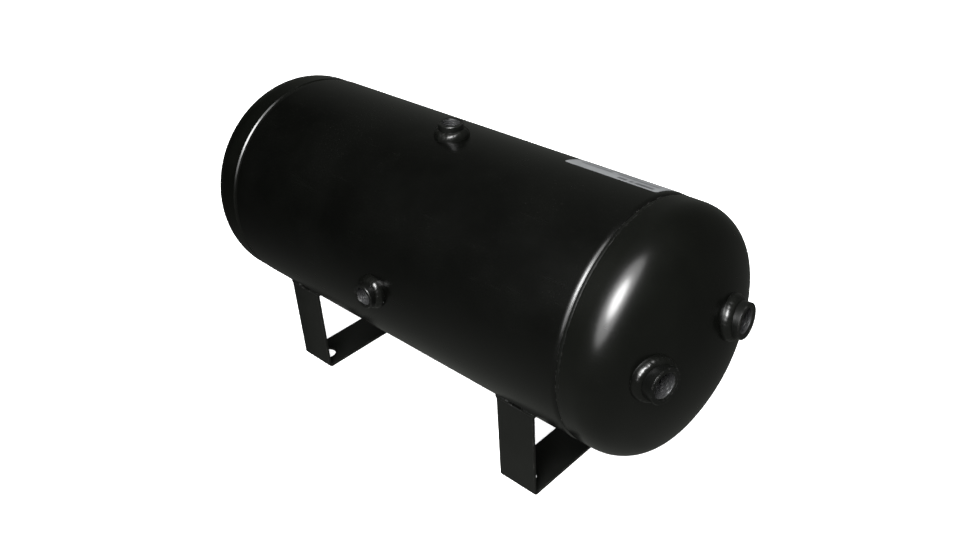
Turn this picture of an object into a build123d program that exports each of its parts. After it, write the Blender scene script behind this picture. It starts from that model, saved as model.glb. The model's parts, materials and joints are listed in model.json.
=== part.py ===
from build123d import *

import os
from math import asin, atan2, cos, degrees, hypot, radians, sin, sqrt

# Horizontal air receiver tank: a rolled shell, two domed heads, welded threaded bungs and two strap
# feet, in millimetres. +X runs along the tank towards the front head and +Z is up. The origin is the
# centre of the four foot bolt holes, on the underside of the feet.

# Shell: rolled sheet, closed by one long weld. Its outside rolls down gently at both ends
shell_diameter = 152.4
shell_wall = 2.0
shell_length = 288.0
shell_end_roll_length = 3.2
shell_end_roll_drop = 0.9
axis_height = 113.5

# Heads: 2:1 domes, a large crown inside a tight knuckle, whose joggled skirts slide into the shell
head_radius = 75.9
head_wall = 2.0
head_dome_height = 38.0
knuckle_radius = 26.3
head_flange_length = 11.4
skirt_depth = 12.0
skirt_clearance = 0.1
joggle_start = 0.5
joggle_end = 2.5

# Long weld of the shell, on the far lower side
seam_angle = -62.0
seam_gap = 2.0
seam_crown_width = 5.0
seam_crown_height = 0.8
seam_crown_setback = 3.5

# Bungs: the shell's take quarter-inch pipe thread and the front head's three-eighths. The bore is
# the inner diameter of the thread. Height and depth are from the tank's skin at the middle
shell_bung_radius = 8.1
shell_bung_bore_radius = 5.7
shell_bung_mouth_radius = 6.1
shell_bung_height = 8.3
shell_bung_depth = 5.0
head_bung_radius = 10.7
head_bung_bore_radius = 7.3
head_bung_mouth_radius = 8.2
head_bung_height = 9.0
head_bung_depth = 8.0
bung_rim_chamfer = 0.4
bung_hole_clearance = 0.1

# Rounded weld around each bung
bung_weld_height = 5.0
bung_weld_width = 3.3
bung_weld_round = 3.0

# How far the round cutters for holes reach past the walls on each side
cutter_reach = 12.0

# Where the two bungs of the front head stand, as (Y, height above the tank's axis). They lean
# outward by half of the dome's slope there
front_left_port = (-46.8, 8.7)
front_right_port = (18.1, 14.5)
head_port_lean = 0.5

# Feet: flat strip bent into a U, with two bolt holes in each base
foot_strip_width = 28.6
foot_strip_thickness = 2.0
foot_outer_width = 121.0
foot_bend_radius = 3.2
foot_leg_gap = 0.05
foot_spacing = 200.0
foot_hole_radius = 6.0
foot_hole_spacing = 102.0

# Foot welds: a short bead at each end of the top of each leg, almost flush with the leg's face
foot_bead_radius = 2.4
foot_bead_rise = 1.2
foot_bead_proud = 0.5
foot_bead_length = 10.0
foot_bead_overhang = 1.8

# Rating label, wrapped over the far shoulder of the shell near the front head
label_start_x = 75.5
label_end_x = 139.5
label_low_angle = 46.5
label_high_angle = 77.5
label_thickness = 0.12

shell_radius = shell_diameter / 2
shell_inner_radius = shell_radius - shell_wall
shell_end_radius = shell_radius - shell_end_roll_drop
half_length = shell_length / 2
seam_arc = degrees(seam_gap / shell_radius)
dome_start = half_length + head_flange_length
knuckle_centre_radius = head_radius - knuckle_radius
crown_radius = (head_dome_height**2 + knuckle_centre_radius**2 - knuckle_radius**2) / (
    2 * (head_dome_height - knuckle_radius)
)
crown_centre_x = dome_start + head_dome_height - crown_radius
crown_angle = degrees(atan2(knuckle_centre_radius, crown_radius - head_dome_height))
leg_outer_y = foot_outer_width / 2
leg_inner_y = leg_outer_y - foot_strip_thickness
leg_top = axis_height - sqrt(shell_radius**2 - leg_inner_y**2) - foot_leg_gap


def on_axis(piece):
    """Lift a piece drawn around the X axis to the height of the tank's axis."""
    return Pos(0, 0, axis_height) * piece


def to_rear(piece):
    """Turn a front end piece half a turn about the vertical, so that it fits the rear end."""
    return Rot(0, 0, 180) * piece


def bar_along_x(radius, start_x, end_x):
    """A solid round bar on the X axis."""
    return Pos((start_x + end_x) / 2, 0, 0) * Rot(0, 90, 0) * Cylinder(radius, end_x - start_x)


def turned(lines, axis=Axis.X):
    """Turn a closed outline, drawn as (along the axis, radius), around an axis."""
    return revolve(Plane.XZ * make_face(lines), axis)


def head_surface(offset):
    """The front head's section from skirt end to dome tip, set in by an offset from its outside."""
    skirt_radius = shell_inner_radius - skirt_clearance
    skirt = Polyline(
        (half_length - skirt_depth, skirt_radius - offset),
        (half_length + joggle_start, skirt_radius - offset),
        (half_length + joggle_end, head_radius - offset),
        (dome_start, head_radius - offset),
    )
    knuckle_centre = (dome_start, head_radius - knuckle_radius)
    knuckle = CenterArc(knuckle_centre, knuckle_radius - offset, crown_angle, 90 - crown_angle)
    crown = CenterArc((crown_centre_x, 0), crown_radius - offset, 0, crown_angle)
    return [*skirt.edges(), knuckle, crown]


def shell_port_plane(angle):
    """A plane on the shell's surface at mid-length. The angle is 0 at +Y and 90 at the top."""
    outward = Vector(0, cos(radians(angle)), sin(radians(angle)))
    return Plane(origin=outward * shell_radius, x_dir=(1, 0, 0), z_dir=outward)


def head_port_plane(port):
    """A plane on the front dome's surface at a port's Y and height, turned to face the port."""
    across, up = port
    along = sqrt(crown_radius**2 - hypot(across, up) ** 2)
    outward = Vector(along, head_port_lean * across, head_port_lean * up).normalized()
    level = outward.cross(Vector(0, 0, 1)).normalized()
    return Plane(origin=(crown_centre_x + along, across, up), x_dir=level, z_dir=outward)


top_plane = shell_port_plane(90)
side_plane = shell_port_plane(180)
drain_plane = shell_port_plane(-90)
front_left_plane = head_port_plane(front_left_port)
front_right_plane = head_port_plane(front_right_port)


def port_hole(plane, bung_radius):
    """The cutter for the hole that a bung stands in."""
    return plane * Cylinder(bung_radius + bung_hole_clearance, 2 * cutter_reach)


def bung(plane, radius, bore_radius, mouth_radius, height, depth):
    """A threaded collar: a tube with a chamfered rim and a countersunk mouth."""
    outline = Polyline(
        (bore_radius, -depth),
        (radius, -depth),
        (radius, height - bung_rim_chamfer),
        (radius - bung_rim_chamfer, height),
        (mouth_radius, height),
        (bore_radius, height - (mouth_radius - bore_radius)),
        close=True,
    )
    return on_axis(plane * turned(outline, Axis.Z))


def shell_bung(plane):
    """A quarter-inch collar for the shell."""
    radii = (shell_bung_radius, shell_bung_bore_radius, shell_bung_mouth_radius)
    return bung(plane, *radii, shell_bung_height, shell_bung_depth)


def head_bung(plane):
    """A three-eighths collar for the front head."""
    radii = (head_bung_radius, head_bung_bore_radius, head_bung_mouth_radius)
    return bung(plane, *radii, head_bung_height, head_bung_depth)


def bung_weld(plane, bung_radius, tank, grown_tank):
    """A rounded ring of weld that follows the tank's skin around a bung."""
    pad = plane * Cylinder(bung_radius + bung_weld_width, 2 * cutter_reach) & grown_tank
    rim = pad.edges().sort_by(Axis(plane.origin, plane.z_dir))[-1]
    collar = plane * Cylinder(bung_radius, 4 * cutter_reach)
    return on_axis(fillet(rim, bung_weld_round) - tank - collar)


def bent_sheet(start_angle, arc):
    """Part of the shell's wall, bent round the X axis, with its outside rolled down at both ends."""
    roll_radius = (shell_end_roll_length**2 + shell_end_roll_drop**2) / (2 * shell_end_roll_drop)
    roll_angle = degrees(asin(shell_end_roll_length / roll_radius))
    roll_x = half_length - shell_end_roll_length
    roll_centre_y = shell_radius - roll_radius
    front_roll = CenterArc((roll_x, roll_centre_y), roll_radius, 90 - roll_angle, roll_angle)
    rear_roll = CenterArc((-roll_x, roll_centre_y), roll_radius, 90, roll_angle)
    outside = Line((-roll_x, shell_radius), (roll_x, shell_radius))
    inside = Polyline(
        (-half_length, shell_end_radius),
        (-half_length, shell_inner_radius),
        (half_length, shell_inner_radius),
        (half_length, shell_end_radius),
    )
    section = make_face([front_roll, outside, rear_roll, *inside.edges()])
    return Rot(start_angle - 90, 0, 0) * revolve(Plane.XZ * section, Axis.X, revolution_arc=arc)


def shell():
    """The rolled tube, with its long slot and the holes for three bungs."""
    tube = bent_sheet(seam_angle + seam_arc / 2, 360 - seam_arc)
    for plane in (top_plane, side_plane, drain_plane):
        tube -= port_hole(plane, shell_bung_radius)
    return on_axis(tube)


def shell_seam_weld():
    """The long weld: a root that fills the slot, under a low rounded crown that stops short."""
    root = bent_sheet(seam_angle - seam_arc / 2, seam_arc)
    length = shell_length - 2 * seam_crown_setback
    half_width = seam_crown_width / 2
    rise = seam_crown_height + shell_radius - sqrt(shell_radius**2 - half_width**2)
    bead_radius = (half_width**2 + rise**2) / (2 * rise)
    crown = bar_along_x(bead_radius, -length / 2, length / 2)
    crown = Pos(0, shell_radius + seam_crown_height - bead_radius, 0) * crown
    crown = Rot(seam_angle, 0, 0) * crown - bar_along_x(shell_radius, -half_length, half_length)
    return on_axis(root + crown)


def plain_head():
    """A pressed dome with a joggled skirt, without ports, at the front end."""
    tip_x = crown_centre_x + crown_radius
    skirt_end = half_length - skirt_depth
    skirt_radius = shell_inner_radius - skirt_clearance
    tip = Line((tip_x, 0), (tip_x - head_wall, 0))
    rim = Line((skirt_end, skirt_radius), (skirt_end, skirt_radius - head_wall))
    return turned([*head_surface(0), *head_surface(head_wall), tip, rim])


def front_head():
    """The front dome, with holes for its two bungs."""
    dome = plain_head()
    for plane in (front_left_plane, front_right_plane):
        dome -= port_hole(plane, head_bung_radius)
    return on_axis(dome)


def rear_head():
    """The rear dome, which has no ports."""
    return on_axis(to_rear(plain_head()))


def head_weld():
    """The ring of weld in the groove between the shell's end and the front head's shoulder."""
    skirt_radius = shell_inner_radius - skirt_clearance
    ramp_slope = (joggle_end - joggle_start) / (head_radius - skirt_radius)
    shoulder_x = half_length + joggle_start + (shell_end_radius - skirt_radius) * ramp_slope
    outline = Polyline(
        (half_length, skirt_radius),
        (half_length + joggle_start, skirt_radius),
        (shoulder_x, shell_end_radius),
        (half_length, shell_end_radius),
        close=True,
    )
    return on_axis(turned(outline))


def foot(centre_x):
    """A strip bent into a U, its two legs cut square just under the shell."""
    upright = (Align.CENTER, Align.CENTER, Align.MIN)
    blank = Box(foot_strip_width, foot_outer_width, leg_top, align=upright)
    corners = blank.edges().filter_by(Axis.X).group_by(Axis.Z)[0]
    blank = fillet(corners, foot_bend_radius)
    inside = Box(foot_strip_width, 2 * leg_inner_y, leg_top, align=upright)
    inside = Pos(0, 0, foot_strip_thickness) * inside
    corners = inside.edges().filter_by(Axis.X).group_by(Axis.Z)[0]
    strap = blank - fillet(corners, foot_bend_radius - foot_strip_thickness)
    drill = Cylinder(foot_hole_radius, 2 * cutter_reach)
    for side in (-1, 1):
        strap -= Pos(0, side * foot_hole_spacing / 2, 0) * drill
    return Pos(centre_x, 0, 0) * strap


def foot_bead(centre_x, side, end):
    """One round-ended bead in the notch between a leg's top and the shell."""
    inner_end = foot_strip_width / 2 - foot_bead_length + foot_bead_radius
    outer_end = foot_strip_width / 2 + foot_bead_overhang - foot_bead_radius
    bead = bar_along_x(foot_bead_radius, inner_end, outer_end)
    for tip in (inner_end, outer_end):
        bead += Pos(tip, 0, 0) * Sphere(foot_bead_radius)
    if end < 0:
        bead = Rot(0, 0, 180) * bead
    bead_y = leg_outer_y + foot_bead_proud - foot_bead_radius
    return Pos(centre_x, side * bead_y, leg_top + foot_bead_rise) * bead


def foot_welds(centre_x):
    """The four beads of one foot, cut to sit on the shell and the legs."""
    tank = on_axis(bar_along_x(shell_radius, -half_length, half_length))
    strap = foot(centre_x)
    between_legs = Pos(centre_x, 0, 0) * Box(2 * foot_strip_width, 2 * leg_inner_y, 2 * axis_height)
    beads = []
    for side in (-1, 1):
        for end in (-1, 1):
            beads += (foot_bead(centre_x, side, end) - tank - strap - between_legs).solids()
    return Compound(beads)


def rating_label():
    """A thin label that follows the shell."""
    length = label_end_x - label_start_x
    outer = shell_radius + label_thickness
    profile = Circle(outer) - Circle(shell_radius)
    reach = 2 * shell_radius
    low = (reach * cos(radians(label_low_angle)), reach * sin(radians(label_low_angle)))
    high = (reach * cos(radians(label_high_angle)), reach * sin(radians(label_high_angle)))
    profile &= make_face(Polyline((0, 0), low, high, close=True))
    return on_axis(Pos(label_start_x, 0, 0) * extrude(Plane.YZ * profile, length))


def all_pieces():
    """Every node's name and its solid or solids."""
    tube = bar_along_x(shell_radius, -half_length, half_length)
    grown_tube = bar_along_x(shell_radius + bung_weld_height, -half_length, half_length)
    dome = Pos(crown_centre_x, 0, 0) * Sphere(crown_radius)
    grown_dome = Pos(crown_centre_x, 0, 0) * Sphere(crown_radius + bung_weld_height)
    front_foot_x = foot_spacing / 2
    rear_foot_x = -foot_spacing / 2
    pieces = {
        "shell": shell(),
        "shell_seam_weld": shell_seam_weld(),
        "front_head": front_head(),
        "rear_head": rear_head(),
        "front_head_weld": head_weld(),
        "rear_head_weld": to_rear(head_weld()),
        "front_foot": foot(front_foot_x),
        "rear_foot": foot(rear_foot_x),
        "front_foot_welds": foot_welds(front_foot_x),
        "rear_foot_welds": foot_welds(rear_foot_x),
        "rating_label": rating_label(),
    }
    for name, plane in (("top", top_plane), ("side", side_plane), ("drain", drain_plane)):
        pieces[name + "_bung"] = shell_bung(plane)
        pieces[name + "_bung_weld"] = bung_weld(plane, shell_bung_radius, tube, grown_tube)
    for name, plane in (("front_left", front_left_plane), ("front_right", front_right_plane)):
        pieces[name + "_bung"] = head_bung(plane)
        pieces[name + "_bung_weld"] = bung_weld(plane, head_bung_radius, dome, grown_dome)
    return pieces


os.makedirs("parts", exist_ok=True)
for name, piece in all_pieces().items():
    export_step(piece, f"parts/{name}.step")
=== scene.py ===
"""Looks of a horizontal air receiver tank: satin black enamel over a rolled shell, pressed heads,
threaded bungs, weld beads and strap feet. Everything is in metres, in the CAD part's own frame."""

import json
from math import asin, atan2, cos, degrees, hypot, pi, radians, sin, sqrt

import bmesh
import bpy
import numpy as np
from mathutils import Matrix, Quaternion, Vector, noise


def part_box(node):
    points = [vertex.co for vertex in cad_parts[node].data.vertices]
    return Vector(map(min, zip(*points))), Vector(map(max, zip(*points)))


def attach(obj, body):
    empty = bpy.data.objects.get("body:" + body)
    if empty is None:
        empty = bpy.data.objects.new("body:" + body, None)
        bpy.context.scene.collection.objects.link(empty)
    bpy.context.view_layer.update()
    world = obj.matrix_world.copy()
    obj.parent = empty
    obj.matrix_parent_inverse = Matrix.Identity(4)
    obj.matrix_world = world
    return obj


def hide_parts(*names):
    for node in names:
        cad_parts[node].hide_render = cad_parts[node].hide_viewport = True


MM = 0.001

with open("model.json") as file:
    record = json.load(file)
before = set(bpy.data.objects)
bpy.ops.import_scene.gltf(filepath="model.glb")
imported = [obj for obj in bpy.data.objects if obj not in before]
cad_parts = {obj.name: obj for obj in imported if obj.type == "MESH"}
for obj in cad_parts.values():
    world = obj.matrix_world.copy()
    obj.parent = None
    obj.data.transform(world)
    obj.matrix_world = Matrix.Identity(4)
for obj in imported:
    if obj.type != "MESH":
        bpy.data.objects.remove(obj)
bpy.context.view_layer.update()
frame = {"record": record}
mounts = {mount["name"]: mount for mount in frame["record"]["mounts"]}


def size_of(node, axis):
    """A CAD node's size along an axis, to the nearest tenth of a millimetre."""
    low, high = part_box(node)
    return round(high[axis] - low[axis], 4)


# Tank body
shell_radius = size_of("shell", 1) / 2
half_length = size_of("shell", 0) / 2
shell_low, shell_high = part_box("shell")
axis_height = round((shell_low.z + shell_high.z) / 2, 4)
wall = 2.0 * MM
end_roll_length = 3.2 * MM
end_roll_drop = 0.9 * MM
shell_end_radius = shell_radius - end_roll_drop

# Heads
head_set_in = 0.3 * MM
head_radius = shell_radius - head_set_in
skirt_clearance = 0.1 * MM
skirt_radius = shell_radius - wall - skirt_clearance
skirt_depth = 12.0 * MM
joggle_start = 0.5 * MM
joggle_end = 2.5 * MM
flange_length = 11.4 * MM
dome_start = half_length + flange_length
dome_height = 38.0 * MM
knuckle_radius = 26.3 * MM
knuckle_centre = head_radius - knuckle_radius
crown_radius = (dome_height**2 + knuckle_centre**2 - knuckle_radius**2) / (
    2 * (dome_height - knuckle_radius)
)
crown_centre_x = dome_start + dome_height - crown_radius
crown_angle = atan2(knuckle_centre, crown_radius - dome_height)

# Bungs: outer radius, mouth radius, height over and depth under the tank's skin
shell_bung_size = (8.1 * MM, 6.1 * MM, 8.3 * MM, 5.0 * MM)
head_bung_size = (10.7 * MM, 8.2 * MM, 9.0 * MM, 8.0 * MM)
bung_chamfer = 0.4 * MM
bung_overlap = 0.2 * MM
thread_pitch = 1.411 * MM
thread_depth = 0.95 * MM

# Weld around each bung
collar_weld_width = 3.2 * MM
collar_weld_height = 4.8 * MM

# Feet
strip_thickness = 2.0 * MM
strip_width = size_of("front_foot", 0)
foot_half_width = size_of("front_foot", 1) / 2
leg_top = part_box("front_foot")[1].z
bend_radius = 3.2 * MM
leg_bury = 0.5 * MM
foot_bead_radius = 2.35 * MM
foot_bead_length = 10.0 * MM
strip_edge = 0.35 * MM

# Label
label_rise = 0.11 * MM

AXIS = Vector((0, 0, axis_height))
CROWN_CENTRE = Vector((crown_centre_x, 0, axis_height))
along_tank = Matrix.Translation(AXIS) @ Matrix.Rotation(pi / 2, 4, "Y")
to_front_end = Matrix.Identity(4)
to_rear_end = Matrix.Rotation(pi, 4, "Z")


# ---------------------------------------------------------------- mesh helpers


def add_piece(name, mesh, materials, node):
    """Make a visible piece that stands for a CAD node, hide that node, and give the piece the given
    materials.
    """
    sharp_angle = radians(40)
    piece = bpy.data.objects.new(name, mesh)
    bpy.context.scene.collection.objects.link(piece)
    for material in materials:
        mesh.materials.append(material)
    mesh.shade_smooth()
    mesh.set_sharp_from_angle(angle=sharp_angle)
    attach(piece, "root")
    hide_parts(node)
    return piece


def grid_faces(rows, columns, close_rows):
    """Quads of a grid of points that is closed around its columns."""
    faces = []
    for i in range(rows if close_rows else rows - 1):
        upper = ((i + 1) % rows) * columns
        for j in range(columns):
            k = (j + 1) % columns
            faces.append((i * columns + j, i * columns + k, upper + k, upper + j))
    return faces


def grid_mesh(name, points, ends="joined"):
    """Mesh over an array of rows x columns x 3 points. Its ends are joined, flat or pointed."""
    rows, columns, _ = points.shape
    vertices = [tuple(point) for point in points.reshape(-1, 3)]
    faces = grid_faces(rows, columns, ends == "joined")
    last = (rows - 1) * columns
    if ends == "flat":
        faces.append(tuple(range(columns)))
        faces.append(tuple(range(last + columns - 1, last - 1, -1)))
    if ends == "pointed":
        for start in (0, last):
            vertices.append(tuple(points.reshape(-1, 3)[start : start + columns].mean(0)))
            pole = len(vertices) - 1
            for j in range(columns):
                faces.append((start + j, start + (j + 1) % columns, pole))
    mesh = bpy.data.meshes.new(name)
    mesh.from_pydata(vertices, [], faces)
    return with_outward_normals(mesh)


def with_outward_normals(mesh):
    """Turn every face of a closed mesh to face outward."""
    editable = bmesh.new()
    editable.from_mesh(mesh)
    bmesh.ops.recalc_face_normals(editable, faces=editable.faces)
    editable.to_mesh(mesh)
    editable.free()
    return mesh


def lathe(name, profile, steps, place=Matrix.Identity(4), ends="joined", shape=None):
    """Turn a list of (along, radius) points round the Z axis, then place the result.

    shape(angle, along, radius, row) may change a point's (along, radius)."""
    points = np.zeros((len(profile), steps, 3))
    for i, (along, radius) in enumerate(profile):
        for j in range(steps):
            angle = 2 * pi * j / steps
            a, r = shape(angle, along, radius, i) if shape else (along, radius)
            points[i, j] = place @ Vector((r * cos(angle), r * sin(angle), a))
    return grid_mesh(name, points, ends)


def arc(centre, radius, start, end, steps):
    """Points of an arc in an (along, radius) profile, from one angle to another in degrees."""
    angles = [radians(start + (end - start) * i / steps) for i in range(steps + 1)]
    return [(centre[0] + radius * cos(a), centre[1] + radius * sin(a)) for a in angles]


def line(start, end, steps):
    """Evenly spaced points between two profile points, without the last one."""
    return [tuple(s + (e - s) * i / steps for s, e in zip(start, end)) for i in range(steps)]


def cut_holes(mesh, cutters):
    """Subtract closed cutter meshes from a mesh, and return the result."""
    blank = bpy.data.objects.new("blank", mesh)
    bpy.context.scene.collection.objects.link(blank)
    tools = []
    for cutter in cutters:
        tool = bpy.data.objects.new("cutter", cutter)
        bpy.context.scene.collection.objects.link(tool)
        tools.append(tool)
        hole = blank.modifiers.new("hole", "BOOLEAN")
        hole.object = tool
        hole.solver = "EXACT"
    graph = bpy.context.evaluated_depsgraph_get()
    result = bpy.data.meshes.new_from_object(blank.evaluated_get(graph))
    for used in [blank, *tools]:
        bpy.data.objects.remove(used)
    result.name = mesh.name
    return result


def rough(point, size, seed=0.0):
    """Smooth noise from -1 to 1 with features of about the given size."""
    return noise.noise(Vector(point) / size + Vector((seed, 2.3 * seed, 5.1)))


def join_meshes(name, meshes):
    """One mesh that holds several closed ones."""
    joined = bmesh.new()
    for mesh in meshes:
        joined.from_mesh(mesh)
    result = bpy.data.meshes.new(name)
    joined.to_mesh(result)
    joined.free()
    return result


# ---------------------------------------------------------------- materials


def add_node(tree, kind, inputs=(), **settings):
    """Add a shader node, set or link its inputs, and return its first output."""
    made = tree.nodes.new("ShaderNode" + kind)
    for key, value in settings.items():
        setattr(made, key, value)
    for key, value in dict(inputs).items():
        if isinstance(value, bpy.types.NodeSocket):
            tree.links.new(value, made.inputs[key])
        else:
            made.inputs[key].default_value = value
    return made.outputs[0]


def calculate(tree, operation, a, b=0.0):
    """A math node."""
    return add_node(tree, "Math", {0: a, 1: b}, operation=operation)


def spread(tree, value, low, high, to_low=0.0, to_high=1.0):
    """Map a value from one range to another, clamped."""
    inputs = {0: value, 1: low, 2: high, 3: to_low, 4: to_high}
    return add_node(tree, "MapRange", inputs)


def mix_colours(tree, factor, a, b):
    """Mix two colours, each a socket or three numbers."""
    mix = tree.nodes.new("ShaderNodeMix")
    mix.data_type = "RGBA"
    for key, value in ((0, factor), (6, a), (7, b)):
        if isinstance(value, bpy.types.NodeSocket):
            tree.links.new(value, mix.inputs[key])
        else:
            mix.inputs[key].default_value = value if key == 0 else (*value, 1)
    return mix.outputs[2]


def split_vector(tree, vector):
    """The x, y and z of a vector."""
    parts = tree.nodes.new("ShaderNodeSeparateXYZ")
    tree.links.new(vector, parts.inputs[0])
    return parts.outputs


def noise_field(tree, place, size, detail=2.0, roughness=0.5, stretch=(1, 1, 1)):
    """Noise with features of about a real size in metres, optionally stretched."""
    inputs = {"Vector": place, "Scale": stretch}
    scaled = add_node(tree, "Mapping", inputs)
    inputs = {"Vector": scaled, "Scale": 1 / size, "Detail": detail, "Roughness": roughness}
    return add_node(tree, "TexNoise", inputs)


def new_material(name):
    """A node material with a Principled shader, and its tree, shader and object coordinates."""
    material = bpy.data.materials.new(name)
    material.use_nodes = True
    tree = material.node_tree
    tree.nodes.clear()
    shader = tree.nodes.new("ShaderNodeBsdfPrincipled")
    output = tree.nodes.new("ShaderNodeOutputMaterial")
    tree.links.new(shader.outputs[0], output.inputs[0])
    place = tree.nodes.new("ShaderNodeTexCoord").outputs["Object"]
    return material, tree, shader, place


def edge_wear(tree, place, radius, amount):
    """A broken-up mask of outer edges, where handling rubs the paint thin."""
    break_size = 2.5 * MM
    softened = add_node(tree, "Bevel", {"Radius": radius}, samples=4)
    true_normal = tree.nodes.new("ShaderNodeNewGeometry").outputs["Normal"]
    product = tree.nodes.new("ShaderNodeVectorMath")
    product.operation = "DOT_PRODUCT"
    tree.links.new(softened, product.inputs[0])
    tree.links.new(true_normal, product.inputs[1])
    edge = spread(tree, product.outputs["Value"], 0.99, 0.88)
    breaks = spread(tree, noise_field(tree, place, break_size, 3), 0.48, 0.66)
    return calculate(tree, "MULTIPLY", calculate(tree, "MULTIPLY", edge, breaks), amount)


def black_enamel(name, tint, gloss, peel, wear):
    """Satin black enamel.

    tint is its colour, gloss its lowest and highest roughness, peel the strength of its orange
    peel and wear how far handling has rubbed its edges."""
    material, tree, shader, place = new_material(name)
    dust_colour = (0.05, 0.048, 0.044)
    dust_cover = 0.1
    dust_roughness = 0.25
    rubbed_colour = (0.09, 0.088, 0.085)
    wear_radius = 0.7 * MM
    scuff_roughness = 0.05
    peel_depth = 0.04 * MM

    patches = noise_field(tree, place, 45 * MM, 3, 0.55)
    clouds = spread(tree, patches, 0.35, 0.65)
    darker = tuple(0.8 * c for c in tint)
    lighter = tuple(1.3 * c for c in tint)
    colour = mix_colours(tree, clouds, darker, lighter)

    along = (0.12, 1, 1)
    scuffs = spread(tree, noise_field(tree, place, 5 * MM, 4, 0.6, along), 0.62, 0.74)
    facing = split_vector(tree, tree.nodes.new("ShaderNodeNewGeometry").outputs["Normal"])
    upward = spread(tree, facing[2], 0.2, 1.0)
    specks = spread(tree, noise_field(tree, place, 1.1 * MM, 2, 0.7), 0.66, 0.74)
    settled = calculate(tree, "MULTIPLY", calculate(tree, "MULTIPLY", upward, specks), dust_cover)
    colour = mix_colours(tree, settled, colour, dust_colour)

    rubbed = edge_wear(tree, place, wear_radius, wear)
    colour = mix_colours(tree, rubbed, colour, rubbed_colour)
    tree.links.new(colour, shader.inputs["Base Color"])

    roughness = spread(tree, patches, 0.35, 0.65, *gloss)
    for mask, added in ((scuffs, scuff_roughness), (settled, dust_roughness)):
        roughness = calculate(tree, "ADD", roughness, calculate(tree, "MULTIPLY", mask, added))
    tree.links.new(roughness, shader.inputs["Roughness"])

    fine = noise_field(tree, place, 1.6 * MM, 2, 0.4)
    broad = noise_field(tree, place, 14 * MM, 1, 0.4)
    height = calculate(tree, "ADD", fine, calculate(tree, "MULTIPLY", broad, 3.0))
    inputs = {"Strength": peel, "Distance": peel_depth, "Height": height}
    tree.links.new(add_node(tree, "Bump", inputs), shader.inputs["Normal"])
    shader.inputs["IOR"].default_value = 1.5
    return material


def thread_steel():
    """Machined steel of the threads, dulled by a thin mist of paint."""
    material, tree, shader, place = new_material("thread_steel")
    steel = (0.085, 0.086, 0.088)
    misted = (0.02, 0.02, 0.021)
    mist = spread(tree, noise_field(tree, place, 3 * MM, 3, 0.6), 0.35, 0.7)
    colour = mix_colours(tree, mist, steel, misted)
    tree.links.new(colour, shader.inputs["Base Color"])
    tree.links.new(spread(tree, mist, 0, 1, 0.85, 0.2), shader.inputs["Metallic"])
    tree.links.new(spread(tree, mist, 0, 1, 0.34, 0.5), shader.inputs["Roughness"])
    chatter = noise_field(tree, place, 0.5 * MM, 2, 0.6)
    inputs = {"Strength": 0.3, "Distance": 0.02 * MM, "Height": chatter}
    tree.links.new(add_node(tree, "Bump", inputs), shader.inputs["Normal"])
    return material


def label_film(name, colour, roughness):
    """Printed silver-grey film with faint handling marks."""
    material, tree, shader, place = new_material(name)
    patches = noise_field(tree, place, 9 * MM, 3, 0.6)
    shade = spread(tree, patches, 0.3, 0.7)
    darker = tuple(0.86 * c for c in colour)
    tree.links.new(mix_colours(tree, shade, darker, colour), shader.inputs["Base Color"])
    marks = spread(tree, patches, 0.3, 0.7, roughness, roughness + 0.12)
    tree.links.new(marks, shader.inputs["Roughness"])
    grain = noise_field(tree, place, 0.35 * MM, 2, 0.6)
    inputs = {"Strength": 0.2, "Distance": 0.01 * MM, "Height": grain}
    tree.links.new(add_node(tree, "Bump", inputs), shader.inputs["Normal"])
    return material


shell_paint = black_enamel("shell_enamel", (0.0009, 0.001, 0.0008), (0.22, 0.27), 0.22, 0.4)
head_paint = black_enamel("head_enamel", (0.0015, 0.0017, 0.0013), (0.21, 0.25), 0.2, 0.1)
foot_paint = black_enamel("foot_enamel", (0.0034, 0.0037, 0.0032), (0.33, 0.42), 0.35, 0.8)
weld_paint = black_enamel("weld_enamel", (0.0022, 0.0024, 0.0020), (0.24, 0.32), 0.2, 0.3)
bung_paint = black_enamel("bung_enamel", (0.0025, 0.0027, 0.0024), (0.22, 0.3), 0.2, 0.6)
bare_thread = thread_steel()
film = label_film("silver_film", (0.15, 0.155, 0.16), 0.4)
ink = label_film("label_ink", (0.045, 0.046, 0.05), 0.32)


# ---------------------------------------------------------------- ports


class Port:
    """A bung's place and sizes. Its own frame stands on the tank's skin, with Z outward."""

    def __init__(self, mount, size, on_head):
        self.radius, self.mouth_radius, self.height, self.depth = size
        self.bore_radius = mount["dims"]["r_mm"] * MM
        length = mount["dims"]["length_mm"] * MM
        mouth_depth = self.mouth_radius - self.bore_radius
        self.axis = axis = Vector(mount["axis"]).normalized()
        rim = Vector(mount["pos_m"]) + axis * (length / 2 + mouth_depth)
        side = axis.cross(Vector((0, 0, 1))).normalized() if on_head else Vector((1, 0, 0))
        across = axis.cross(side)
        self.place = Matrix((side, across, axis)).transposed().to_4x4()
        self.place.translation = rim - axis * self.height
        self.on_head = on_head

    def skin_height(self, x, y):
        """Height of the tank's skin over the plane at the bung's foot, along the bung's axis."""
        if not self.on_head:
            return sqrt(shell_radius**2 - y**2) - shell_radius
        from_centre = self.place @ Vector((x, y, 0)) - CROWN_CENTRE
        along = from_centre.dot(self.axis)
        return sqrt(crown_radius**2 - from_centre.length_squared + along**2) - along


shell_ports = {
    name: Port(mounts[name + "_port"], shell_bung_size, False) for name in ("top", "side", "drain")
}
head_ports = {
    name: Port(mounts[name + "_port"], head_bung_size, True)
    for name in ("front_left", "front_right")
}


def port_cutter(port):
    """A round cutter for the hole in the tank that the bung fills.

    It is turned a little, so that none of its corners meets an edge of the tank's mesh."""
    reach = 12.0 * MM
    radius = port.radius - bung_overlap
    profile = [(-reach, radius), (reach, radius)]
    place = port.place @ Matrix.Rotation(radians(1.3), 4, "Z")
    return lathe("cutter", profile, 96, place, "flat")


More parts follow.
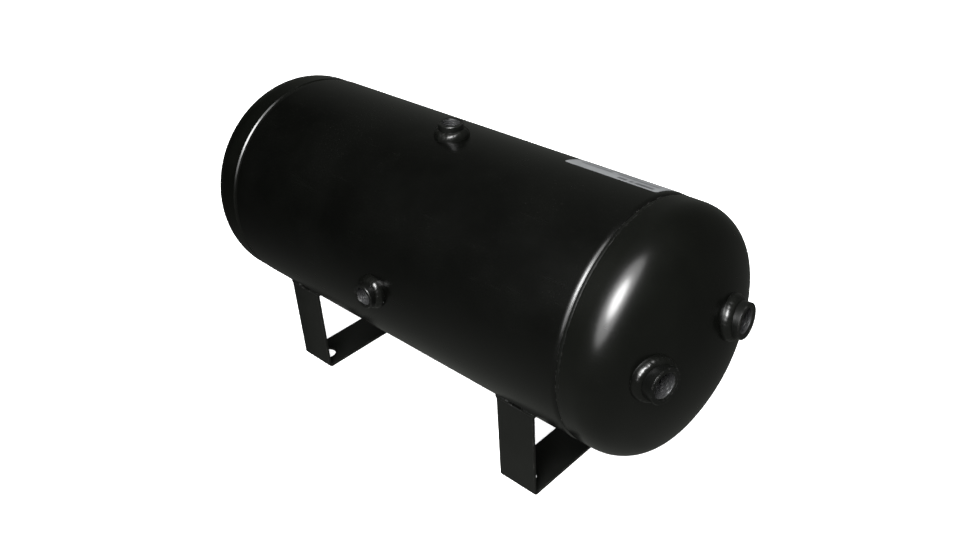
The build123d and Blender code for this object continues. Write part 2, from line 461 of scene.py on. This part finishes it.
def threaded_bung(name, port):
    """A collar with a rounded rim, a countersunk mouth and a real helical thread."""
    round_edge = 0.12 * MM
    thread_rows = 130
    run_out_rows = 8
    root_sharpness = 2.6
    tolerance = 0.02 * MM
    painted_depth = 0.3 * MM
    crest = port.bore_radius
    top = port.height
    foot = -port.depth
    mouth_bottom = top - (port.mouth_radius - crest)
    shoulder = top - bung_chamfer - round_edge
    rim_radius = port.radius - bung_chamfer - 0.4 * round_edge
    outside = line((foot, port.radius), (shoulder, port.radius), 6)
    outside += arc((shoulder, port.radius - round_edge), round_edge, 90, 45, 3)
    outside += arc((top - round_edge, rim_radius), round_edge, 50, 0, 3)
    rim = line((top, rim_radius - 0.2 * round_edge), (top, port.mouth_radius + round_edge), 2)
    mouth = arc((top - round_edge, port.mouth_radius + round_edge), round_edge, 0, -45, 3)
    lead_in = 0.35 * (port.mouth_radius - crest)
    mouth += line((top - lead_in, port.mouth_radius - lead_in), (mouth_bottom, crest), 3)
    bore = line((mouth_bottom, crest), (foot, crest), thread_rows)
    first_bore_row = len(outside) + len(rim) + len(mouth)
    bottom = [(foot, crest + 0.5 * MM), (foot, port.radius - 0.3 * MM)]

    def cut_thread(angle, along, radius, row):
        """Sink the wall of the bore to the roots of the thread, which runs out at both ends."""
        if not first_bore_row <= row < first_bore_row + thread_rows:
            return along, radius
        turn = ((mouth_bottom - along) / thread_pitch + angle / (2 * pi)) % 1
        sunk = min(1.0, root_sharpness * min(turn, 1 - turn))
        rows_left = first_bore_row + thread_rows - row
        fade = min(1.0, (row - first_bore_row) / run_out_rows, rows_left / run_out_rows)
        return along, radius + thread_depth * sunk * fade

    profile = outside + rim + mouth + bore + bottom
    mesh = lathe(name, profile, 96, port.place, "joined", cut_thread)
    piece = add_piece(name + "_threaded", mesh, [bung_paint, bare_thread], name)
    # Bare steel starts just below the countersink
    bore_limit = crest + thread_depth + tolerance
    paint_limit = mouth_bottom - painted_depth
    inverse = port.place.inverted()
    for face in mesh.polygons:
        local = inverse @ face.center
        if hypot(local.x, local.y) < bore_limit and local.z < paint_limit:
            face.material_index = 1
    return piece


def collar_weld_point(port, angle, share, seed):
    """A point of the weld's visible face, from the tank's skin (0) to the collar (1)."""
    ripple_length = 2.3 * MM
    ripple_height = 0.11 * MM
    ripple_bow = 2.4
    fullness = 0.15 * MM
    uneven_height = 0.20 * MM
    lump_height = 0.08 * MM
    toe_depth = 0.1 * MM
    size_change = 0.10
    sideways = 0.7
    # Every ring's noise is read on a ring of radius 10, whatever the bung's size
    spot = (10 * cos(angle), 10 * sin(angle), 5 * share)
    uneven = rough(spot, 3.5, seed)
    lumps = rough(spot, 1.3, seed + 7)
    width = collar_weld_width * (1 + size_change * rough(spot, 6.0, seed + 3))
    height = collar_weld_height * (1 + size_change * rough(spot, 5.0, seed + 5))
    swing = share * pi / 2
    reach = port.radius - bung_overlap + width * cos(swing)
    rise = height * sin(swing)
    fronts = 2 * pi * angle * port.radius / ripple_length + ripple_bow * (share - 0.45) ** 2 * pi
    ripple = ripple_height * abs(sin(fronts / 2)) ** 0.7
    belly = sin(2 * swing)
    push = belly * (fullness + uneven_height * uneven + lump_height * lumps + ripple)
    x = (reach + sideways * push) * cos(angle)
    y = (reach + sideways * push) * sin(angle)
    skin = port.skin_height(x, y)
    return Vector((x, y, skin + rise + sideways * push - toe_depth * (1 - share)))


def ball(place, radius):
    """A small bead of weld spatter, slightly flattened onto the surface."""
    flatness = 0.85
    dent = 0.06
    made = bmesh.new()
    bmesh.ops.create_icosphere(made, subdivisions=3, radius=radius)
    for vertex in made.verts:
        vertex.co.z *= flatness
        vertex.co *= 1 + dent * rough(vertex.co, radius, 4.0)
    bmesh.ops.transform(made, matrix=place, verts=made.verts)
    mesh = bpy.data.meshes.new("ball")
    made.to_mesh(mesh)
    made.free()
    return mesh


def collar_weld(name, port, seed, spatter):
    """The rippled fillet of weld round a bung.

    spatter lists its balls, as (degrees round, share up the weld, radius in millimetres)."""
    steps = 200
    face_rows = 18
    into_collar = 0.5 * MM
    below_top = 0.6 * MM
    below_skin = 0.8 * MM
    root_share = 0.93
    rows = np.zeros((face_rows + 3, steps, 3))
    for j in range(steps):
        angle = 2 * pi * j / steps
        for i in range(face_rows + 1):
            rows[i, j] = port.place @ collar_weld_point(port, angle, i / face_rows, seed)
        inner = port.radius - into_collar
        top = collar_weld_point(port, angle, 1.0, seed)
        inner_point = Vector((inner * cos(angle), inner * sin(angle), top.z - below_top))
        rows[face_rows + 1, j] = port.place @ inner_point
        toe = collar_weld_point(port, angle, 0.0, seed)
        skin = port.skin_height(toe.x, toe.y)
        buried = Vector((root_share * toe.x, root_share * toe.y, skin - below_skin))
        rows[face_rows + 2, j] = port.place @ buried
    meshes = [grid_mesh("ring", rows)]
    for degrees_round, share, radius in spatter:
        angle = radians(degrees_round)
        spot = port.place @ collar_weld_point(port, angle, share, seed)
        place = port.place.copy()
        place.translation = spot
        meshes.append(ball(place, radius * MM))
    mesh = join_meshes(name, meshes)
    return add_piece(name + "_rippled", mesh, [weld_paint], name)


# ---------------------------------------------------------------- shell and heads


def shell_piece():
    """The rolled tube with rounded ends and three bung holes."""
    inner = shell_radius - wall
    end = half_length
    roll_radius = (end_roll_length**2 + end_roll_drop**2) / (2 * end_roll_drop)
    roll_angle = degrees(asin(end_roll_length / roll_radius))
    roll_start = end - end_roll_length
    centre_radius = shell_radius - roll_radius
    lip = [(end - 0.02 * MM, shell_end_radius - 0.15 * MM), (end, shell_end_radius - 0.3 * MM)]
    inner_start = end - 2 * MM
    profile = line((-roll_start, shell_radius), (roll_start, shell_radius), 64)
    profile += arc((roll_start, centre_radius), roll_radius, 90, 90 - roll_angle, 14)
    profile += lip + [(end, inner)]
    profile += line((inner_start, inner), (-inner_start, inner), 24)
    profile += [(-end, inner)] + [(-along, radius) for along, radius in reversed(lip)]
    profile += arc((-roll_start, centre_radius), roll_radius, 90 + roll_angle, 90, 14)[:-1]
    tube = lathe("shell", profile, 384, along_tank)
    tube = cut_holes(tube, [port_cutter(port) for port in shell_ports.values()])
    return add_piece("rolled_shell", tube, [shell_paint], "shell")


def head_profile():
    """A head's outside and inside, each from the skirt's end to the dome's tip."""
    crown_degrees = degrees(crown_angle)
    tip_degrees = 0.25
    knuckle = (dome_start, knuckle_centre)
    crown = (crown_centre_x, 0)
    sides = []
    for offset in (0, wall):
        skirt_start = (half_length - skirt_depth, skirt_radius - offset)
        skirt_end = (half_length, skirt_radius - offset)
        ramp_start = (half_length + joggle_start, skirt_radius - offset)
        ramp_end = (half_length + joggle_end, head_radius - offset)
        side = line(skirt_start, skirt_end, 4)
        side += line(ramp_start, ramp_end, 6)
        side += line(ramp_end, (dome_start, head_radius - offset), 5)
        side += arc(knuckle, knuckle_radius - offset, 90, crown_degrees, 30)
        side += arc(crown, crown_radius - offset, crown_degrees, tip_degrees, 34)[1:]
        sides.append(side)
    return sides


def head_piece(name, node, ports, turn):
    """A pressed head: a skin of the wall's thickness, with the holes for its bungs."""
    outside, inside = head_profile()
    steps = 384
    place = turn @ along_tank
    points = np.zeros((len(outside) + len(inside), steps, 3))
    for i, (along, radius) in enumerate(outside[::-1] + inside):
        for j in range(steps):
            angle = 2 * pi * j / steps
            points[i, j] = place @ Vector((radius * cos(angle), radius * sin(angle), along))
    mesh = grid_mesh(name, points, "pointed")
    if ports:
        mesh = cut_holes(mesh, [port_cutter(port) for port in ports.values()])
    return add_piece(name, mesh, [head_paint], node)


def head_weld_piece(name, node, turn, seed):
    """The ring of weld in the groove, with fine ripples that lean along the bead."""
    groove_floor = shell_end_radius - 0.12 * MM
    start = half_length - 0.3 * MM
    end = half_length + 1.8 * MM
    root_inset = 0.4 * MM
    ripple_length = 2.4 * MM
    ripple_height = 0.09 * MM
    ripple_bow = 1.6
    fullness = 0.10 * MM
    evenness = 0.6
    sunk = 0.05 * MM
    face_rows = 10
    profile = line((start, groove_floor), (end, groove_floor), face_rows)
    profile += [(end, groove_floor), (end - root_inset, skirt_radius)]
    profile += [(start + root_inset, skirt_radius)]

    def ripple(angle, along, radius, row):
        """Raise the bead's face into crescent ripples of uneven height."""
        if row > face_rows:
            return along, radius
        share = row / face_rows
        crown = 4 * share * (1 - share)
        travelled = angle * shell_radius
        wave = abs(sin(pi * travelled / ripple_length + ripple_bow * (share - 0.5) ** 2 * pi))
        spot = (shell_radius * cos(angle), shell_radius * sin(angle), along)
        uneven = evenness + (1 - evenness) * rough(spot, 14 * MM, seed)
        rise = crown * (fullness + ripple_height * uneven * wave)
        return along, radius + rise - sunk

    mesh = lathe(name, profile, 1200, turn @ along_tank, "joined", ripple)
    return add_piece(name, mesh, [weld_paint], node)


def seam_weld_piece():
    """The long weld on the far lower side: a low rippled bead with tapered ends."""
    low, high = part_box("shell_seam_weld")
    middle = (low + high) / 2
    angle = atan2(middle.z - axis_height, middle.y)
    half_width = 2.5 * MM
    end_width_share = 0.55
    depth = 0.9 * MM
    sunk = 0.05 * MM
    fullness = 0.55 * MM
    ripple_length = 2.6 * MM
    ripple_height = 0.13 * MM
    ripple_bow = 1.3
    uneven_height = 0.1 * MM
    wander_width = 0.25 * MM
    taper_length = 4 * MM
    setback = 3.7 * MM
    length = high.x - low.x - 2 * setback
    stations = 560
    columns = 20
    points = np.zeros((stations, columns, 3))
    for i in range(stations):
        share = i / (stations - 1)
        x = low.x + setback + length * share
        taper = min(1.0, share * length / taper_length, (1 - share) * length / taper_length)
        wander = wander_width * rough((x, 0, 0), 30 * MM, 2.0)
        width = half_width * (end_width_share + (1 - end_width_share) * taper)
        for j in range(columns):
            turn = 2 * pi * j / columns
            across = width * cos(turn) + wander
            out = sin(turn)
            wave = abs(sin(pi * x / ripple_length + ripple_bow * cos(turn) ** 2))
            uneven = rough((x, across, 0), 9 * MM)
            height = fullness + ripple_height * wave + uneven_height * uneven
            rise = height * taper * out if out > 0 else depth * out
            radius = shell_radius + rise - sunk
            bent = angle + across / shell_radius
            points[i, j] = (x, radius * cos(bent), axis_height + radius * sin(bent))
    mesh = grid_mesh("seam", points, "pointed")
    return add_piece("long_seam_bead", mesh, [weld_paint], "shell_seam_weld")


# ---------------------------------------------------------------- feet


def strip_section():
    """Outline of the strip's cross-section, (across, out) from its middle, with rounded edges."""
    half_across = strip_width / 2 - strip_edge
    half_out = strip_thickness / 2 - strip_edge
    corner_steps = 4
    outline = []
    for corner, (sign_across, sign_out) in enumerate(((1, 1), (-1, 1), (-1, -1), (1, -1))):
        for step in range(corner_steps + 1):
            angle = radians(90 * (corner + step / corner_steps))
            across = sign_across * half_across + strip_edge * cos(angle)
            out = sign_out * half_out + strip_edge * sin(angle)
            outline.append((across, out))
    return outline


def strip_stations():
    """The strip's middle line from one leg's top to the other's: (y, z, outward y, outward z)."""
    middle = strip_thickness / 2
    straight_y = foot_half_width - bend_radius
    leg_start = leg_top + leg_bury
    leg_steps = 12
    bend_steps = 10
    base_steps = 24
    stations = []
    for i in range(leg_steps + 1):
        height = leg_start + (bend_radius - leg_start) * i / leg_steps
        stations.append((foot_half_width - middle, height, 1.0, 0.0))
    reach = bend_radius - middle
    for i in range(1, bend_steps):
        angle = radians(-90 * i / bend_steps)
        y = straight_y + reach * cos(angle)
        z = bend_radius + reach * sin(angle)
        stations.append((y, z, cos(angle), sin(angle)))
    one_side = len(stations)
    for i in range(base_steps + 1):
        stations.append((straight_y - 2 * straight_y * i / base_steps, middle, 0.0, -1.0))
    mirrored = [(-y, z, -out_y, out_z) for y, z, out_y, out_z in stations[:one_side]]
    return stations + mirrored[::-1]


def foot_piece(name, node):
    """A strip bent into a U, with rounded sheared edges and two bolt holes."""
    centre_x = (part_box(node)[0].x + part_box(node)[1].x) / 2
    section = strip_section()
    stations = strip_stations()
    last = len(stations) + 1
    points = np.zeros((last + 1, len(section), 3))
    for i, (y, z, out_y, out_z) in enumerate([stations[0], *stations, stations[-1]]):
        inset = strip_edge if i in (0, last) else 0.0
        drop = strip_edge if i in (1, last - 1) else 0.0
        for j, (across, out) in enumerate(section):
            across -= inset * (1 if across > 0 else -1)
            out -= inset * (1 if out > 0 else -1)
            points[i, j] = (centre_x + across, y + out * out_y, z - drop + out * out_z)
    strap = grid_mesh(name, points, "flat")
    bolts = mounts["foot_bolts"]["dims"]
    radius = bolts["hole_r_mm"] * MM
    flare = 0.25 * MM
    profile = [
        (-2 * flare, radius + 3 * flare),
        (flare, radius),
        (strip_thickness - flare, radius),
        (strip_thickness + 2 * flare, radius + 3 * flare),
    ]
    cutters = []
    for side in (-1, 1):
        place = Matrix.Translation((centre_x, side * bolts["spacing_y_mm"] / 2 * MM, 0))
        cutters.append(lathe("cutter", profile, 72, place, "flat"))
    return add_piece(name, cut_holes(strap, cutters), [foot_paint], node)


def bead(path, radius, seed):
    """A rippled bead of weld along a path, with rounded ends."""
    columns = 28
    ripple_length = 1.9 * MM
    ripple_lean = 0.35 * MM
    ripple_share = 0.07
    uneven_height = 0.16 * MM
    uneven_size = 3 * MM
    end_squareness = 0.02
    points = np.zeros((len(path), columns, 3))
    travelled = 0.0
    total = sum((b - a).length for a, b in zip(path, path[1:]))
    for i, spot in enumerate(path):
        before = path[max(i - 1, 0)]
        after = path[min(i + 1, len(path) - 1)]
        travelled += (spot - before).length
        forward = (after - before).normalized()
        side = forward.cross(Vector((0, 0, 1))).normalized()
        up = side.cross(forward)
        from_end = min(travelled, total - travelled)
        full = sqrt(max(end_squareness, 1 - max(0.0, 1 - from_end / radius) ** 2))
        wave = abs(sin(pi * travelled / ripple_length))
        for j in range(columns):
            angle = 2 * pi * j / columns
            lean = ripple_lean * sin(angle)
            uneven = rough(spot + side * uneven_size * cos(angle), uneven_size, seed)
            size = radius * (1 - ripple_share + ripple_share * wave) + uneven_height * uneven
            outward = side * cos(angle) + up * sin(angle)
            points[i, j] = spot + forward * lean + outward * size * full
    return grid_mesh("bead", points, "pointed")


def foot_weld_piece(name, node, foot_node, seed):
    """A short bead at each end of the top of each leg, almost flush with the leg's face."""
    low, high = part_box(foot_node)
    centre_x = (low.x + high.x) / 2
    half = strip_width / 2
    rise = 1.15 * MM
    proud = 0.45 * MM
    overhang = 1.7 * MM
    spatter_radius = 0.55 * MM
    spatter_rise = 0.8 * MM
    spatter_set_in = 0.1 * MM
    spatter_x = centre_x - 0.16 * half
    inner_x = half - foot_bead_length
    outer_x = half + overhang
    steps = 48
    meshes = []
    for side in (-1, 1):
        bead_y = side * (foot_half_width + proud - foot_bead_radius)
        for end in (-1, 1):
            path = []
            for i in range(steps + 1):
                x = inner_x + (outer_x - inner_x) * i / steps
                path.append(Vector((centre_x + end * x, bead_y, leg_top + rise)))
            meshes.append(bead(path, foot_bead_radius, seed + side + 2 * end))
        spatter_y = side * (foot_half_width - spatter_set_in)
        spot = Vector((spatter_x, spatter_y, leg_top + spatter_rise))
        meshes.append(ball(Matrix.Translation(spot), spatter_radius))
    mesh = join_meshes(name, meshes)
    return add_piece(name, mesh, [foot_paint], node)


# ---------------------------------------------------------------- label


def label_mesh(low, high, first_angle, last_angle):
    """A thin closed film with rounded corners on the shell, between two ends and two angles."""
    arc_length = (last_angle - first_angle) * shell_radius
    length = high.x - low.x
    cell = 0.5 * MM
    rows = round(arc_length / cell)
    columns = round(length / cell)
    corner = 2.0 * MM
    top = shell_radius + label_rise
    under = shell_radius - 0.02 * MM
    outer = []
    inner = []
    for i in range(rows + 1):
        across = arc_length * i / rows
        near_edge = min(across, arc_length - across, corner)
        inset = corner - sqrt(corner**2 - (corner - near_edge) ** 2)
        bent = first_angle + across / shell_radius
        for j in range(columns + 1):
            x = low.x + inset + (length - 2 * inset) * j / columns
            outer.append((x, top * cos(bent), axis_height + top * sin(bent)))
            inner.append((x, under * cos(bent), axis_height + under * sin(bent)))
    width = columns + 1
    count = (rows + 1) * width
    faces = []
    for i in range(rows):
        for j in range(columns):
            a = i * width + j
            faces.append((a, a + 1, a + width + 1, a + width))
            faces.append(tuple(count + k for k in (a + width, a + width + 1, a + 1, a)))
    rim = list(range(width))
    rim += [i * width + columns for i in range(1, rows + 1)]
    rim += [rows * width + j for j in range(columns - 1, -1, -1)]
    rim += [i * width for i in range(rows - 1, 0, -1)]
    for a, b in zip(rim, rim[1:] + rim[:1]):
        faces.append((b, a, count + a, count + b))
    mesh = bpy.data.meshes.new("label")
    mesh.from_pydata(outer + inner, [], faces)
    return with_outward_normals(mesh)


def label_piece():
    """A thin film that hugs the shell, printed with plain bars in place of words."""
    low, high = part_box("rating_label")
    low_angle = atan2(high.z - axis_height, low.y)
    high_angle = atan2(low.z - axis_height, high.y)
    first, last = sorted((low_angle, high_angle))
    mesh = label_mesh(low, high, first, last)
    piece = add_piece("rating_label_film", mesh, [film, ink], "rating_label")
    # Each bar's start and end along the label, then down from its top edge, in millimetres
    bars = [(36, 42, 2, 5), (44, 46.5, 2, 5), (48, 60, 2, 5), (6, 28, 9, 11), (32, 60, 9, 11)]
    bars += [(6, 20, 14, 15.5), (23, 44, 14, 15.5), (6, 34, 18, 19.5), (38, 58, 18, 19.5)]
    bars += [(6, 26, 24, 30), (32, 60, 24, 25.5), (32, 52, 28, 29.5), (6, 60, 34, 35)]
    printed_face = shell_radius + 0.9 * label_rise
    for face in mesh.polygons:
        x = (face.center.x - low.x) / MM
        radius = hypot(face.center.y, face.center.z - axis_height)
        down = (last - atan2(face.center.z - axis_height, face.center.y)) * shell_radius / MM
        if radius > printed_face:
            if any(x0 < x < x1 and d0 < down < d1 for x0, x1, d0, d1 in bars):
                face.material_index = 1
    return piece


# ---------------------------------------------------------------- build the pieces

shell_piece()
head_piece("pressed_front_head", "front_head", head_ports, to_front_end)
head_piece("pressed_rear_head", "rear_head", {}, to_rear_end)
head_weld_piece("front_head_bead", "front_head_weld", to_front_end, 1.0)
head_weld_piece("rear_head_bead", "rear_head_weld", to_rear_end, 6.0)
seam_weld_piece()
spatter_of = {
    "top": [(-75, 0.75, 0.75), (120, 0.1, 0.5)],
    "side": [(60, 0.9, 0.55), (-20, 0.15, 0.5)],
    "drain": [(40, 0.5, 0.6)],
    "front_left": [(150, 0.25, 0.55), (200, 0.8, 0.5)],
    "front_right": [(170, 0.6, 0.6)],
}
for index, (name, port) in enumerate({**shell_ports, **head_ports}.items()):
    threaded_bung(name + "_bung", port)
    collar_weld(name + "_bung_weld", port, 3.0 * index + 1, spatter_of[name])
for index, end in enumerate(("front", "rear")):
    foot_piece(end + "_strap_foot", end + "_foot")
    foot_weld_piece(end + "_foot_beads", end + "_foot_welds", end + "_foot", 5.0 * index + 2)
label_piece()


# ---------------------------------------------------------------- floor, light and camera


def add_stage(name, mesh, material):
    """A piece of the studio that the camera sees, and the glossy enamel doesn't mirror."""
    mesh.materials.append(material)
    piece = bpy.data.objects.new(name, mesh)
    bpy.context.scene.collection.objects.link(piece)
    piece.visible_glossy = False
    piece.visible_diffuse = False
    return piece


def add_floor():
    """A wide pale floor just under the feet."""
    half = 10.0
    height = -0.1 * MM
    corners = [(-half, -half), (half, -half), (half, half), (-half, half)]
    mesh = bpy.data.meshes.new("floor")
    mesh.from_pydata([(x, y, height) for x, y in corners], [], [(0, 1, 2, 3)])
    material, tree, shader, place = new_material("pale_floor")
    shade = spread(tree, noise_field(tree, place, 0.3, 2), 0.3, 0.7)
    colour = mix_colours(tree, shade, (0.86, 0.86, 0.86), (0.88, 0.88, 0.88))
    tree.links.new(colour, shader.inputs["Base Color"])
    shader.inputs["Roughness"].default_value = 0.9
    shader.inputs["Emission Color"].default_value = (1, 1, 1, 1)
    shader.inputs["Emission Strength"].default_value = 0.8
    add_stage("floor", mesh, material)


def add_backdrop():
    """A pale dome behind everything."""
    made = bmesh.new()
    bmesh.ops.create_uvsphere(made, u_segments=48, v_segments=24, radius=8.0)
    mesh = bpy.data.meshes.new("backdrop")
    made.to_mesh(mesh)
    made.free()
    material, tree, shader, place = new_material("pale_backdrop")
    shader.inputs["Base Color"].default_value = (0, 0, 0, 1)
    shader.inputs["Emission Color"].default_value = (0.97, 0.97, 0.97, 1)
    shader.inputs["Emission Strength"].default_value = 1.0
    backdrop = add_stage("backdrop", mesh, material)
    backdrop.visible_shadow = False


def add_top_light():
    """Very soft light from above, as from a wide ceiling diffuser."""
    light = bpy.data.lights.new("top", "SUN")
    light.energy = 3.9
    light.angle = radians(120)
    lamp = bpy.data.objects.new("top", light)
    lamp.location = (0, 0, 3)
    lamp.visible_glossy = False
    bpy.context.scene.collection.objects.link(lamp)


def add_softbox(name, direction, distance, size, power):
    """An oval soft light that faces the near shoulder of the front head."""
    target = Vector((0.165, -0.052, 0.1655))
    long_side = Vector((0.07, 0.76, 0.63))
    light = bpy.data.lights.new(name, "AREA")
    light.shape = "ELLIPSE"
    light.size, light.size_y = size
    light.energy = power
    lamp = bpy.data.objects.new(name, light)
    back = Vector(direction).normalized()
    tall = (long_side - back * long_side.dot(back)).normalized()
    side = tall.cross(back)
    turned = Matrix((side, tall, back)).transposed().to_4x4()
    lamp.matrix_world = Matrix.Translation(target + back * distance) @ turned
    bpy.context.scene.collection.objects.link(lamp)


def add_surroundings():
    """Soft surroundings: dark to the left, and paler behind, below and to the right of the tank."""
    world = bpy.data.worlds.new("studio")
    bpy.context.scene.world = world
    world.use_nodes = True
    tree = world.node_tree
    tree.nodes.clear()
    direction = tree.nodes.new("ShaderNodeTexCoord").outputs["Generated"]
    x, y, z = split_vector(tree, direction)
    front_right = spread(tree, x, -0.8, -0.35)
    front = mix_colours(tree, front_right, (0.004, 0.004, 0.004), (0.1, 0.105, 0.096))
    low_right = spread(tree, x, -0.8, -0.56)
    low = mix_colours(tree, low_right, (0.03, 0.031, 0.029), (0.155, 0.161, 0.148))
    back_right = spread(tree, x, -0.5, 0.0)
    back = mix_colours(tree, back_right, (0.097, 0.101, 0.093), (0.06, 0.062, 0.057))
    colour = mix_colours(tree, spread(tree, z, 0.0, -0.65), front, low)
    colour = mix_colours(tree, spread(tree, y, 0.1, 0.75), colour, back)
    background = tree.nodes.new("ShaderNodeBackground")
    tree.links.new(colour, background.inputs["Color"])
    output = tree.nodes.new("ShaderNodeOutputWorld")
    tree.links.new(background.outputs[0], output.inputs[0])


def add_camera():
    """The camera, above and in front of the near side, looking down at the tank."""
    camera = bpy.data.cameras.new("camera")
    camera.lens = 33.909
    camera.shift_x = -0.00497
    camera.shift_y = 0.00983
    camera.clip_start = 0.01
    viewer = bpy.data.objects.new("camera", camera)
    azimuth = radians(44.186)
    elevation = radians(33.360)
    roll = radians(-2.914)
    level = cos(elevation)
    back = Vector((sin(azimuth) * level, -cos(azimuth) * level, sin(elevation)))
    viewer.rotation_mode = "QUATERNION"
    viewer.rotation_quaternion = back.to_track_quat("Z", "Y") @ Quaternion((0, 0, 1), roll)
    viewer.location = (0.3819, -0.3624, 0.4239)
    bpy.context.scene.collection.objects.link(viewer)
    bpy.context.scene.camera = viewer


add_floor()
add_backdrop()
add_top_light()
add_softbox("key", (0.25, -0.62, 0.74), distance=1.2, size=(0.38, 0.76), power=22)
add_softbox("glow", (0.24, -0.63, 0.72), distance=1.25, size=(0.85, 2.1), power=22)
add_surroundings()
add_camera()
bpy.context.scene.view_settings.view_transform = "Standard"
